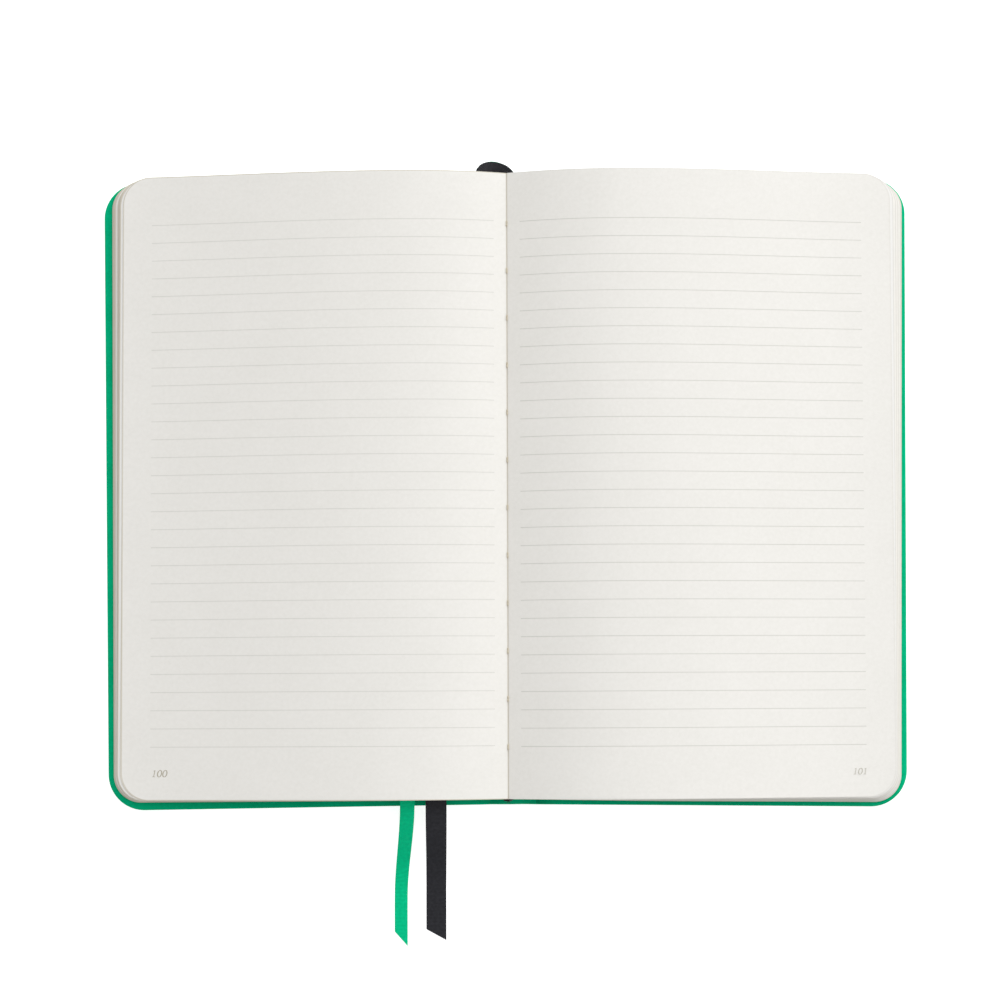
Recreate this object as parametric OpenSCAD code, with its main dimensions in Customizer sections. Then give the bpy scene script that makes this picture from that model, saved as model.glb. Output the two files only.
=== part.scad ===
// Open hardcover notebook: a sewn block of leaves in a round-cornered case with two ribbon markers.
// It lies open at its middle with both covers flat on the table and the pages up.
// +X points to the right-hand page, +Y to the head and +Z up. The origin is on the table,
// midway between the outer edges of the covers and midway between their head and tail.

/* [Cover] */
// Height of a cover from head to tail
cover_h = 210.6; // [180:0.1:240]
// Distance from the middle of the case to the outer edge of a cover
cover_reach = 133.8; // [122:0.1:150]
// Distance from the middle of the case to the inner edge of a cover board
joint_x = 10.6; // [9.6:0.1:14]
// Thickness of a cover board
board_t = 2; // [1.4:0.1:3]
// Thickness of the covering material
wrap_t = 0.35; // [0.2:0.05:0.6]
// Width of the covering turned in over the inside of a board
turn_in = 13; // [8:0.5:20]
// Radius of the two outer corners of a cover
cover_corner_r = 12; // [6:0.5:20]
// Angle by which each cover swings out in plan, wider apart at the head
splay = 0.65; // [0:0.01:1]

/* [Spine of the case] */
// Width of the card strip that stiffens the spine
strip_w = 12; // [8:0.5:15]
// Thickness of the card strip
strip_t = 0.8; // [0.4:0.1:1]
// Height of the arch that the open spine makes between the covers
spine_rise = 3; // [1:0.25:3.25]

/* [Leaves] */
// Distance by which a cover stands out past the leaves at the head
head_square_w = 0.7; // [0.5:0.1:4]
// Distance by which a cover stands out past the leaves at the tail
tail_square_w = 2; // [0.5:0.1:4]
// Distance by which a cover stands out past the lowest leaf at the fore-edge
fore_square_w = 1.9; // [1:0.1:4]
// Distance by which the leaves lie to the right of the middle of the case
leaves_x = 0.4; // [0:0.05:0.5]
// Distance by which the gutter lies to the right of the middle of the case
gutter_x = 0.55; // [0:0.05:0.6]
// Angle by which the gutter leans to the right at the head
gutter_lean = 0.14; // [0:0.01:0.2]
// Distance by which the lowest left-hand leaf reaches out past the top one
left_fan_w = 3.7; // [0:0.1:6]
// Distance by which the lowest right-hand leaf reaches out past the top one
right_fan_w = 3.3; // [0:0.1:6]
// Angle by which the lowest left-hand leaf swings out in plan
left_swing = 0.39; // [0:0.01:1]
// Angle by which the lowest right-hand leaf swings out in plan
right_swing = 0.89; // [0:0.01:1]
// Radius of the outer corners of a leaf
leaf_corner_r = 8; // [4:0.5:16]
// Thickness of one sheet of endpaper
paper_t = 0.15; // [0.1:0.01:0.25]
// Height of the gutter above the lowest leaf at the fore-edge
gutter_rise = 9.8; // [8:0.1:12]
// Thickness of half the block where the leaves crown
block_t = 6.1; // [4:0.1:8]
// Distance from the gutter to the crown of the top leaf
crown_x = 37; // [28:0.5:50]
// Height of the crown of the left-hand leaves above the lowest leaf at the fore-edge
left_crown_rise = 16.9; // [13:0.1:20]
// Height of the crown of the right-hand leaves above the lowest leaf at the fore-edge
right_crown_rise = 18.3; // [13:0.1:20]
// Thickness of the left-hand leaves at the fore-edge
left_fore_t = 4.9; // [3:0.1:7]
// Thickness of the right-hand leaves at the fore-edge
right_fore_t = 4.1; // [3:0.1:7]
// Slope of the top leaves where they rise out of the gutter, in degrees
gutter_slope = 25; // [18:0.5:32]
// Slope of the top leaves where they end at the fore-edge, in degrees
fore_slope = 5.5; // [0:0.5:10]

/* [Sewn back of the block] */
// Thickness of paper between the gutter and the folded back
fold_t = 0.8; // [0.4:0.1:1.5]
// Distance from the gutter to the foot of each half of the folded back
foot_x = 1.7; // [1.4:0.1:2]
// Height of each half of the folded back
back_h = 5.4; // [4:0.1:5.6]
// Thickness of the cloth lining glued to the back
lining_t = 0.3; // [0.15:0.05:0.4]
// Radius of the bead along the bands at head and tail
bead_r = 0.35; // [0.25:0.05:0.6]
// Length of the bead down each half of the folded back
bead_l = 3.4; // [2:0.1:5]
// Length of the band's tape down the back of the block
tape_l = 9; // [6:0.5:14]
// Number of sewing stations along the gutter
station_count = 12; // [6:1:14]
// Distance between two sewing stations
station_pitch = 15.8; // [10:0.1:16]
// Length of thread that shows at a station
stitch_l = 2; // [1:0.1:4]
// Radius of the sewing thread
thread_r = 0.22; // [0.15:0.01:0.3]

/* [Ribbon markers] */
// Width of the black ribbon
black_w = 6.6; // [4:0.1:7]
// Width of the green ribbon
green_w = 4.3; // [3:0.1:6]
// Thickness of a ribbon
ribbon_t = 0.22; // [0.15:0.01:0.24]
// Height of the gap that the ribbons run in under the left-hand leaves
ribbon_room = 0.85; // [0.8:0.05:0.95]

/* [Hidden] */

// The front cover lies to the left of the gutter and the back cover to the right.
LEFT = -1;
RIGHT = 1;

// Heights that build up from the table: cover, endpaper, leaves, gutter.
board_z = wrap_t;
inside_z = board_z + board_t;
cover_t = inside_z + wrap_t + paper_t;
sheet_gap = 0.1;
rest_z = cover_t + sheet_gap + paper_t + sheet_gap;
gutter_z = rest_z + gutter_rise;
back_z = gutter_z - fold_t;
foot_z = back_z - back_h;

// Plan sizes that follow from the cover.
leaf_h = cover_h - head_square_w - tail_square_w;
leaf_y = (tail_square_w - head_square_w) / 2;
low_reach = cover_reach - fore_square_w;
pastedown_inset = 3;

// Joint between cover and spine: a slit on each side of the hinge line.
slit = 0.3;
spine_half = joint_x - 2 * slit;

// Where the lowest leaf crowns and where it comes down on the cover.
crown_shift = 2;
low_crown_x = crown_x + crown_shift;
touch_w = 6;
touch_x = low_reach - touch_w;
low_touch_slope = 2;
low_foot_slope = 24;

// Distance from the gutter at which a sheet is fully turned with its cover.
turned_x = joint_x - 1;

// Half of what the turned corners reach past the tail, so that the origin is halfway, and the
// middle of the leaves, which sit nearer to the head.
middle_y = (cover_reach - cover_corner_r) * sin(splay) / 2;
leaf_middle_y = middle_y + leaf_y;

// Steps of the curved sheets: along the leaf, round its corner and through its thickness.
near_steps = 11;
far_steps = 9;
near_w = 44;
corner_steps = 6;
fan_steps = 5;
joint_steps = 6;
strip_steps = 12;
loop_steps = 10;
lay_steps = 12;
tail_steps = 8;

// Steps round a bead, a stitch and the corner of a cover.
bead_fn = 24;
stitch_fn = 12;
corner_fn = 64;
least_corner_r = 0.5;

paper_color = [0.93, 0.93, 0.9];
endpaper_color = [0.9, 0.89, 0.85];
cover_color = [0.03, 0.62, 0.42];
board_color = [0.62, 0.57, 0.5];
cloth_color = [0.85, 0.84, 0.8];
black_color = [0.13, 0.13, 0.14];
green_color = [0.12, 0.75, 0.52];
thread_color = [0.82, 0.77, 0.68];

// Ribbons run under the back, turn flat round the head in a crumpled loop, then run down under the
// left-hand leaves. The black one lies over the green one all the way. Each is given as
// [lift under the back, share of the room, radius and reach of its loop, half width there,
// x and slope where it comes out at the tail, x and y of its end, slant of its cut].
black_run = [0.72, 0.3, 3.4, 2.5, 2.05, -23.8, 0.02, -24.1, -149, 1.8];
green_run = [0.36, 0.7, 3.9, 3, 1.7, -33.2, 0.06, -35.8, -150.3, 2.4];

// Where the ribbons start under the back, the middle of their loops, how far past the leaves that
// lies, and how far each loop leans over.
under_x = 0.05;
under_ys = [leaf_h / 2 - 14, leaf_h / 2 - 6];
loop_x = -4;
loop_past = 0.4;
loop_lean = -0.5;

// Distance that a ribbon takes to come down to the table past the tail, its height there, and how
// much sooner than its end it has swerved aside.
fall_w = 29;
swerve = 1.4;
lie_z = ribbon_t / 2 + 0.09;

function reversed(list) = [for (i = [len(list) - 1 : -1 : 0]) list[i]];
function mix(a, b, t) = a + (b - a) * t;
function unit(v) = v / norm(v);

// Cubic from height za with slope ma at xa to height zb with slope mb at xb.
function cubic(x, xa, za, ma, xb, zb, mb) =
    let(w = xb - xa, t = (x - xa) / w)
    za * (2 * t ^ 3 - 3 * t ^ 2 + 1) + ma * w * (t ^ 3 - 2 * t ^ 2 + t)
    + zb * (3 * t ^ 2 - 2 * t ^ 3) + mb * w * (t ^ 3 - t ^ 2);

function crown_z(side) = rest_z + (side == LEFT ? left_crown_rise : right_crown_rise);
function fore_z(side) = rest_z + (side == LEFT ? left_fore_t : right_fore_t);
function top_reach(side) = low_reach - (side == LEFT ? left_fan_w : right_fan_w);
function swing(side) = side == LEFT ? left_swing : right_swing;

// Height of the top leaf: up out of the gutter to the crown, then down to the fore-edge.
function top_z(side, x) =
    x < crown_x
    ? cubic(x, 0, gutter_z, tan(gutter_slope), crown_x, crown_z(side), 0)
    : cubic(x, crown_x, crown_z(side), 0, top_reach(side), fore_z(side), -tan(fore_slope));

// Height of the lowest leaf: from the foot of the back over its crown and down onto the cover.
function low_z(side, x) =
    x < low_crown_x
    ? cubic(x, foot_x, foot_z, tan(low_foot_slope), low_crown_x, crown_z(side) - block_t, 0)
    : x < touch_x
    ? cubic(x, low_crown_x, crown_z(side) - block_t, 0, touch_x, rest_z, -tan(low_touch_slope) / 2)
    : rest_z;

// Height of the leaf at depth u, from 0 at the top to 1 at the bottom, at share f of its width.
function leaf_start(u) = mix(thread_r * 2, foot_x, u);
function leaf_reach(side, u) = mix(top_reach(side), low_reach, u);

// Outline of the leaves as [share of the straight part, angle round the corner].
straight_w = low_reach - leaf_corner_r;
outline_steps = concat(
    [for (i = [0 : near_steps]) [i / near_steps * near_w / straight_w, 0]],
    [for (i = [1 : far_steps]) [mix(near_w / straight_w, 1, i / far_steps), 0]],
    [for (i = [1 : corner_steps]) [1, 90 * i / corner_steps]]);

function leaf_x(side, step, u) =
    mix(leaf_start(u), leaf_reach(side, u) - leaf_corner_r, step[0]) + leaf_corner_r * sin(step[1]);
function leaf_half_h(step) = leaf_h / 2 - leaf_corner_r * (1 - cos(step[1]));

// Share of its swing that a sheet makes, from none at the folded back to all at the joint.
function held(x) = max(0, min(1, (x - foot_x) / (turned_x - foot_x)));

// Where a sheet is measured from: the leaning gutter near it, the middle of the leaves further out.
function base_x(x, y) =
    mix(gutter_x + y * tan(gutter_lean), leaves_x, max(0, x - foot_x) / (low_reach - foot_x));

// A point of a sheet at depth u, swung in plan: not at all at the top, fully at the bottom.
function fanned(side, x, y, z, u) =
    let(a = swing(side) * u * held(x))
    [base_x(x, y) + side * (x * cos(a) + y * sin(a)), y * cos(a) - x * sin(a) + leaf_middle_y, z];

// Loop of points through the leaves at one step of the outline, tail edge down and head edge up.
function leaf_loop(side, step) = concat(
    [for (k = [0 : fan_steps]) leaf_point(side, step, k / fan_steps, -1)],
    [for (k = [fan_steps : -1 : 0]) leaf_point(side, step, k / fan_steps, 1)]);
function leaf_point(side, step, u, end) =
    fanned(side, leaf_x(side, step, u), end * leaf_half_h(step),
           mix(top_z(side, leaf_x(side, step, 0)), low_z(side, leaf_x(side, step, 1)), u), u);

// Loop of points at the fold in the middle of the book.
function fold_point(k, end) =
    [base_x(0, end * leaf_h / 2), leaf_middle_y + end * leaf_h / 2, gutter_z - fold_t * k / fan_steps];
fold_loop = concat(
    [for (k = [0 : fan_steps]) fold_point(k, -1)], [for (k = [fan_steps : -1 : 0]) fold_point(k, 1)]);

// Closed solid through a row of loops, each with as many points, capped rung by rung at both ends.
module skin(loops) {
    n = len(loops);
    m = len(loops[0]);
    last = (n - 1) * m;
    walls = [for (i = [0 : n - 2], j = [0 : m - 1])
        let(a = i * m + j, b = i * m + (j + 1) % m)
        each (j < m / 2 ? [[a, b, b + m], [a, b + m, a + m]] : [[a, b, a + m], [b, b + m, a + m]])];
    caps = [for (k = [0 : m / 2 - 2]) each [
        [k + 1, k, m - 1 - k], [k + 1, m - 1 - k, m - 2 - k],
        [last + k, last + k + 1, last + m - 1 - k],
        [last + k + 1, last + m - 2 - k, last + m - 1 - k]]];
    polyhedron(points = [for (loop = loops) each loop], faces = concat(walls, caps), convexity = 8);
}

// The sewn leaves: both halves and the fold between them are one solid.
module text_block() {
    left_loops = [for (step = outline_steps) leaf_loop(LEFT, step)];
    right_loops = [for (step = outline_steps) leaf_loop(RIGHT, step)];
    color(paper_color) skin(concat(reversed(right_loops), [fold_loop], left_loops));
}

// Gap between the lowest leaf and the endpaper: room for the ribbons near the back on the left.
room_start = 42;
room_end = 70;
function fly_gap(side, x) =
    side == RIGHT || x > room_end
    ? sheet_gap
    : x < room_start
    ? ribbon_room
    : mix(ribbon_room, sheet_gap, (x - room_start) / (room_end - room_start));

// Endpaper from the hinge up to the back of the block, round its fold and out under the leaves.
fly_clear = 0.75;
fly_turn_x = foot_x + fly_clear;
fly_turn_z = foot_z - fly_clear;
fly_low_z = inside_z + wrap_t + paper_t / 2;
fly_steps = 4;
function fly_z(side, x) = low_z(side, x) - fly_gap(side, x) - paper_t / 2;
function fly_loop(side, x, z, dx, dz, half_h) = [
    fanned(side, x + dx, -half_h, z + dz, 1), fanned(side, x - dx, -half_h, z - dz, 1),
    fanned(side, x - dx, half_h, z - dz, 1), fanned(side, x + dx, half_h, z + dz, 1)];

// Point of the strip that crosses the joint, at share t of the way from the hinge to the fold.
function joint_point(side, t, y, dz) =
    let(fold = fanned(side, fly_turn_x, y, fly_turn_z + dz, 1),
        hinge = [side * (spine_half + y * tan(splay)), y + leaf_middle_y, fly_low_z + dz])
    mix(hinge, fold, t);
module flyleaf(side) {
    half_t = paper_t / 2;
    half_h = leaf_h / 2;
    joint_loops = [for (i = [0 : fly_steps])
        let(t = i / (fly_steps + 1))
        [joint_point(side, t, -half_h, -half_t), joint_point(side, t, -half_h, half_t),
         joint_point(side, t, half_h, half_t), joint_point(side, t, half_h, -half_t)]];
    turn_loop = fly_loop(side, fly_turn_x, fly_turn_z, -half_t, 0, half_h);
    leaf_loops = [for (step = outline_steps)
        let(x = leaf_x(side, step, 1))
        if (x > fly_turn_x + 2 * paper_t) fly_loop(side, x, fly_z(side, x), 0, half_t, leaf_half_h(step))];
    loops = concat(joint_loops, [turn_loop], leaf_loops);
    color(endpaper_color) skin(side == LEFT ? loops : reversed(loops));
}
module front_flyleaf() { flyleaf(LEFT); }
module back_flyleaf() { flyleaf(RIGHT); }

// Layer glued inside the folded back from y0 to y1, between two depths measured square to it.
module along_back(y0, y1, d0, d1) {
    leg = norm([foot_x, back_h]);
    top = [for (d = [d0, d1]) back_z - d * leg / foot_x];
    foot = [for (d = [d0, d1]) foot_x - d * leg / back_h];
    section = [[-foot[0], foot_z], [0, top[0]], [foot[0], foot_z],
               [foot[1], foot_z], [0, top[1]], [-foot[1], foot_z]];
    skin([for (y = [y1, y0]) [for (p = section) [base_x(0, y) + p[0], leaf_middle_y + y, p[1]]]]);
}

// Open-weave cloth glued down the folded back between the two bands.
module spine_lining() {
    lining_half = leaf_h / 2 - tape_l;
    color(cloth_color) along_back(-lining_half, lining_half, 0, lining_t);
}

// Woven band at the head or tail: a tape in the back and a bead over the ends of the leaves.
module end_band(end) {
    edge = leaf_h / 2;
    bead_y = end * (edge + bead_r);
    bead_place = [base_x(0, bead_y), leaf_middle_y + bead_y, back_z];
    color(black_color) {
        along_back(
            end > 0 ? edge - tape_l : -edge - bead_r, end > 0 ? edge + bead_r : tape_l - edge,
            0, lining_t);
        for (side = [LEFT, RIGHT])
            translate(bead_place)
                rotate([0, 180 - side * atan(foot_x / back_h), 0])
                    cylinder(h = bead_l, r = bead_r, $fn = bead_fn);
        translate(bead_place) sphere(r = bead_r, $fn = bead_fn);
    }
}
module headband() { end_band(1); }
module tailband() { end_band(-1); }

// Linen thread: the short stitches that show in the gutter at the sewing stations.
module sewing_thread() {
    bed = 0.02;
    stitch_z = gutter_z + thread_r / cos(gutter_slope) + bed;
    bar = stitch_l - 2 * thread_r;
    color(thread_color)
        for (i = [0 : station_count - 1])
            let(y = (i - (station_count - 1) / 2) * station_pitch)
            translate([base_x(0, y), leaf_middle_y + y, stitch_z]) {
                rotate([90, 0, 0]) cylinder(h = bar, r = thread_r, center = true, $fn = stitch_fn);
                for (end = [-1, 1])
                    translate([0, end * bar / 2, 0]) sphere(r = thread_r, $fn = stitch_fn);
            }
}

// Height of the underside of the open spine at share t of its half width.
function arch_z(t) = spine_rise * (1 + cos(180 * t)) / 2;
function spine_x(t, y) = t * (spine_half + (y - middle_y) * tan(splay));

// Shares at which the spine is stepped: across the strip, and across it and both joints.
strip_share = strip_w / 2 / spine_half;
strip_ts = [for (i = [0 : strip_steps]) strip_share * (2 * i / strip_steps - 1)];
spine_ts = concat(
    [for (i = [0 : joint_steps - 1]) mix(-1, -strip_share, i / joint_steps)], strip_ts,
    [for (i = [1 : joint_steps]) mix(strip_share, 1, i / joint_steps)]);
glue_t = 0.04;

// Closed layer that follows the arch, with an outline of [y, height above the underside].
module arched(shares, outline) {
    skin([for (t = reversed(shares))
        [for (p = outline) [spine_x(t, p[0] + middle_y), p[0] + middle_y, arch_z(t) + p[1]]]]);
}

// Covering over the spine: it crosses both joints and is turned in at head and tail.
module spine_wrap() {
    edge = cover_h / 2;
    flap = edge - turn_in;
    inner = wrap_t + strip_t + 2 * glue_t;
    outer = inner + wrap_t;
    color(cover_color) arched(spine_ts, [
        [-flap, outer], [-edge, outer], [-edge, 0], [edge, 0], [edge, outer], [flap, outer],
        [flap, inner], [edge - wrap_t, inner], [edge - wrap_t, wrap_t], [wrap_t - edge, wrap_t],
        [wrap_t - edge, inner], [-flap, inner]]);
}

// Card strip glued to the inside of the covering, between the turned-in ends.
module spine_strip() {
    edge = cover_h / 2 - wrap_t - glue_t;
    low = wrap_t + glue_t;
    color(board_color) arched(strip_ts, [
        [-edge, low], [edge, low], [edge, low + strip_t], [-edge, low + strip_t]]);
}

// Outline of a cover, in from its edge by some distance and with round outer corners.
module cover_plan(inset, start = joint_x) {
    r = max(cover_corner_r - inset, least_corner_r);
    reach = cover_reach - inset;
    half_h = cover_h / 2 - inset;
    translate([start, -half_h]) square([reach - r - start, 2 * half_h]);
    translate([start, -half_h + r]) square([reach - start, 2 * half_h - 2 * r]);
    for (end = [-1, 1])
        translate([reach - r, end * (half_h - r)]) circle(r = r, $fn = corner_fn);
}
module cover_place(side) {
    translate([0, middle_y, 0])
        rotate([0, 0, -side * splay])
            mirror([side == LEFT ? 1 : 0, 0, 0]) children();
}

// Grey board inside a cover.
module cover_board(side) {
    color(board_color)
        cover_place(side)
            translate([0, 0, board_z]) linear_extrude(board_t) cover_plan(wrap_t);
}
module front_board() { cover_board(LEFT); }
module back_board() { cover_board(RIGHT); }

// Covering of a board: the outside, round its three edges and turned in over the inside.
module cover_wrap(side) {
    past = 1;
    color(cover_color)
        cover_place(side)
            difference() {
                linear_extrude(inside_z + wrap_t) cover_plan(0);
                translate([0, 0, board_z])
                    linear_extrude(board_t) cover_plan(wrap_t, joint_x - past);
                translate([0, 0, inside_z])
                    linear_extrude(wrap_t + past) cover_plan(turn_in, joint_x - past);
            }
}
module front_cover_wrap() { cover_wrap(LEFT); }
module back_cover_wrap() { cover_wrap(RIGHT); }

// Endpaper pasted over the turn-ins, with the filler sheet that levels the board between them.
module pastedown(side) {
    color(endpaper_color)
        cover_place(side) {
            translate([0, 0, inside_z]) linear_extrude(wrap_t) cover_plan(turn_in);
            translate([0, 0, inside_z + wrap_t]) linear_extrude(paper_t) cover_plan(pastedown_inset);
        }
}
module front_pastedown() { pastedown(LEFT); }
module back_pastedown() { pastedown(RIGHT); }

// Height and tilt of a ribbon lying under the left-hand leaves, some way down the room there.
function lay_x(x, y) = -x - y * sin(left_swing) * held(-x);
function lay_z(x, y, share) = low_z(LEFT, lay_x(x, y)) - share * ribbon_room;
function lay_tilt(x, y) = atan(lay_z(x - 0.5, y, 0) - lay_z(x + 0.5, y, 0));

// Route of a ribbon as [x, y, z, tilt, turn of its outer edge, half width], with x and y measured
// from the middle of the gutter.
function ribbon_route(run, width) =
    let(
        under_z = spine_rise + 2 * wrap_t + strip_t + run[0],
        head_y = leaf_h / 2 + loop_past,
        in_x = loop_x - run[2],
        in_z = lay_z(in_x, head_y, run[1]),
        in_tilt = lay_tilt(in_x, head_y),
        out_y = loop_past - leaf_h / 2,
        out_z = lay_z(run[5], out_y, run[1]),
        out_tilt = lay_tilt(run[5], out_y),
        in_slope = 2 * (run[5] - in_x) / (out_y - head_y) - run[6])
    concat(
        [for (y = under_ys) [under_x, y, under_z, 0, 0, width / 2]],
        [for (i = [0 : loop_steps])
            let(
                a = 180 * i / loop_steps,
                rise = (1 - cos(a)) / 2)
            [loop_x + run[2] * cos(a) + loop_lean * sin(a), head_y + run[3] * sin(a),
             mix(under_z, in_z, rise), in_tilt * rise, a, mix(width / 2, run[4], sin(a))]],
        [for (i = [1 : lay_steps])
            let(
                y = mix(head_y, out_y, i / lay_steps),
                x = cubic(y, head_y, in_x, in_slope, out_y, run[5], run[6]))
            [x, y, lay_z(x, y, run[1]), lay_tilt(x, y), 180, width / 2]],
        [for (i = [1 : tail_steps])
            let(
                t = i / tail_steps,
                y = mix(out_y, run[8], t),
                fallen = (1 - cos(180 * min(1, (out_y - y) / fall_w))) / 2)
            [mix(run[5], run[7], (1 - cos(180 * min(1, swerve * t))) / 2), y, mix(out_z, lie_z, fallen),
             out_tilt * (1 - fallen), 180, width / 2]]);

// Flat woven ribbon along its route, cut aslant at its end.
module ribbon(run, width) {
    route = ribbon_route(run, width);
    n = len(route);
    points = [for (p = route) [p[0] + base_x(abs(p[0]), p[1]), p[1] + leaf_middle_y, p[2]]];
    loops = [for (i = [0 : n - 1])
        let(
            p = points[i],
            along = unit(points[min(i + 1, n - 1)] - points[max(i - 1, 0)]),
            tilt = route[i][3],
            turn = route[i][4],
            flat = [cos(turn) * cos(tilt), sin(turn) * cos(tilt), sin(tilt)],
            across = unit(flat - (flat * along) * along),
            w = across * route[i][5],
            h = cross(along, across) * ribbon_t / 2,
            s = along * (i == n - 1 ? -run[9] : 0))
        [p - w - h - s, p - w + h - s, p + w + h + s, p + w - h + s]];
    skin(loops);
}
module black_ribbon() { color(black_color) ribbon(black_run, black_w); }
module green_ribbon() { color(green_color) ribbon(green_run, green_w); }

text_block();
front_flyleaf();
back_flyleaf();
spine_lining();
headband();
tailband();
sewing_thread();
spine_wrap();
spine_strip();
front_board();
front_cover_wrap();
front_pastedown();
back_board();
back_cover_wrap();
back_pastedown();
black_ribbon();
green_ribbon();
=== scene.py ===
"""Open hardcover notebook, dressed for the photograph.

Sizes are in millimetres until a mesh is made."""

import bpy
import numpy as np
from mathutils import Matrix


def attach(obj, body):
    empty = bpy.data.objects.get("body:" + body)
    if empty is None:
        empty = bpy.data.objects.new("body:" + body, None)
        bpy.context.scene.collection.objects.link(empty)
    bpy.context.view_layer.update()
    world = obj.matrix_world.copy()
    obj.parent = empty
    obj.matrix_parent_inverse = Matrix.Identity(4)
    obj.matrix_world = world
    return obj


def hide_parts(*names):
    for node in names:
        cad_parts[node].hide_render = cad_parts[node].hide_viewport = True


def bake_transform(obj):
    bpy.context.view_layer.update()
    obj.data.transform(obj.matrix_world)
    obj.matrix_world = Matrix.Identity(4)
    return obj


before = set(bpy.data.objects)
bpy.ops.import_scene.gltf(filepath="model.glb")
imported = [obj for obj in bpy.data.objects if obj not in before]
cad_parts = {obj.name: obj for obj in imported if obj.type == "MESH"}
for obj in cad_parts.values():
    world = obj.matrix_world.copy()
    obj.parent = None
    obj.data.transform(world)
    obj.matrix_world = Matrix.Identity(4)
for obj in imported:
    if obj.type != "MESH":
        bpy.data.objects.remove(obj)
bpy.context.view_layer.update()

# ---- camera ----
# The camera looks down on the open pages from a little toward the tail, as over a desk.
# Its lens is long, so the covers keep their shape out to the corners.
aim, distance = np.array([-2.0, -3.14, 0.0]), 960.0
sensor_w, lens = 36, 103.0
toward_tail, toward_right, roll = np.radians([4.06, 0.30, -0.311])


def level_with(away):
    """The level direction square to away: the unit cross product of the y axis with it."""
    level = np.cross([0, 1, 0], away)
    return level / np.linalg.norm(level)


def put_at(thing, across, upward, away, spot):
    """Puts a camera or lamp at a spot in metres, turned so that away points from its aim to it."""
    placed = np.eye(4)
    placed[:3, :4] = np.column_stack([across, upward, away, spot])
    thing.matrix_world = Matrix(placed.tolist())


back = np.array([np.sin(toward_right) * np.cos(toward_tail), -np.sin(toward_tail),
                 np.cos(toward_right) * np.cos(toward_tail)])
level = level_with(back)
upward = np.cross(back, level)
camera = bpy.data.objects.new("camera", bpy.data.cameras.new("camera"))
bpy.context.scene.collection.objects.link(camera)
put_at(camera, np.cos(roll) * level + np.sin(roll) * upward,
       np.cos(roll) * upward - np.sin(roll) * level, back, (aim + distance * back) / 1000)
camera.data.sensor_width, camera.data.lens = sensor_w, lens
camera.data.clip_start, camera.data.clip_end = 0.01, 20
bpy.context.scene.camera = camera
bpy.context.scene.view_settings.view_transform = "Standard"

# ---- black ribbon marker ----
# A woven satin ribbon glued under the back of the block at the head. It loops round the head,
# runs down through the book over the front endpaper and lies on the table past the tail.
cover_h, cover_reach, cover_corner_r, joint_x = 210.6, 133.8, 12.0, 10.6
board_t, wrap_t, paper_t, strip_t = 2.0, 0.35, 0.15, 0.8
splay, swing = np.radians(0.65), {-1: np.radians(0.39), 1: np.radians(0.89)}
head_square_w, tail_square_w, fore_square_w = 0.7, 2.0, 1.9
leaves_x, gutter_x, gutter_lean, gutter_rise = 0.4, 0.55, np.radians(0.14), 9.8
block_t, fold_t, foot_x, back_h, spine_rise = 6.1, 0.8, 1.7, 5.4, 3.0
crown_x, crown_rise = 37.0, {-1: 16.9, 1: 18.3}
foot_slope, touch_slope = np.radians(24), np.radians(2)
sheet_gap, ribbon_t, ribbon_room = 0.1, 0.22, 0.85
glued_x, glued_l, free_l, loop_x, loop_skew = 0.05, 14, 6, -4, 0.5
end_gap, fall_l, lie_gap = 0.4, 29, 0.09
weft_pitch, weft_depth, weft_share = 0.45, 0.08, 0.22
inside_z = wrap_t + board_t
cover_t = inside_z + wrap_t + paper_t
rest_z = cover_t + paper_t + 2 * sheet_gap
gutter_z = rest_z + gutter_rise
back_z = gutter_z - fold_t
foot_z = back_z - back_h
leaf_h = cover_h - head_square_w - tail_square_w
low_reach = cover_reach - fore_square_w
low_crown_x, touch_x = crown_x + 2, low_reach - 6
middle_y = (cover_reach - cover_corner_r) * np.sin(splay) / 2
leaf_middle_y = middle_y + (tail_square_w - head_square_w) / 2


def mix(a, b, t):
    """a + (b - a) times t."""
    return a + (b - a) * t


def smooth_step(t):
    """3 t squared less 2 t cubed, with t held between 0 and 1."""
    t = np.clip(t, 0, 1)
    return t * t * (3 - 2 * t)


def cubic(x, xa, za, ma, xb, zb, mb):
    """Hermite cubic through (xa, za) with slope ma and (xb, zb) with slope mb."""
    w = xb - xa
    t = (x - xa) / w
    return (za * (2 * t**3 - 3 * t**2 + 1) + ma * w * (t**3 - 2 * t**2 + t)
            + zb * (3 * t**2 - 2 * t**3) + mb * w * (t**3 - t**2))


def low_z(side, x):
    """Height of the lowest leaf: two cubics, up from the foot of the back and down to the cover."""
    crown = rest_z + crown_rise[side] - block_t
    near = cubic(x, foot_x, foot_z, np.tan(foot_slope), low_crown_x, crown, 0)
    far = cubic(x, low_crown_x, crown, 0, touch_x, rest_z, -np.tan(touch_slope) / 2)
    return np.where(x < low_crown_x, near, np.where(x < touch_x, far, rest_z))


def held(x):
    """Share of its swing that a sheet makes: none at the folded back, all at the joint."""
    return np.clip((x - foot_x) / (joint_x - 1 - foot_x), 0, 1)


def base_x(x, y):
    """Where a sheet is measured from: the leaning gutter, or further out the leaves' middle."""
    return mix(gutter_x + y * np.tan(gutter_lean), leaves_x,
               np.maximum(0, x - foot_x) / (low_reach - foot_x))


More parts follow.
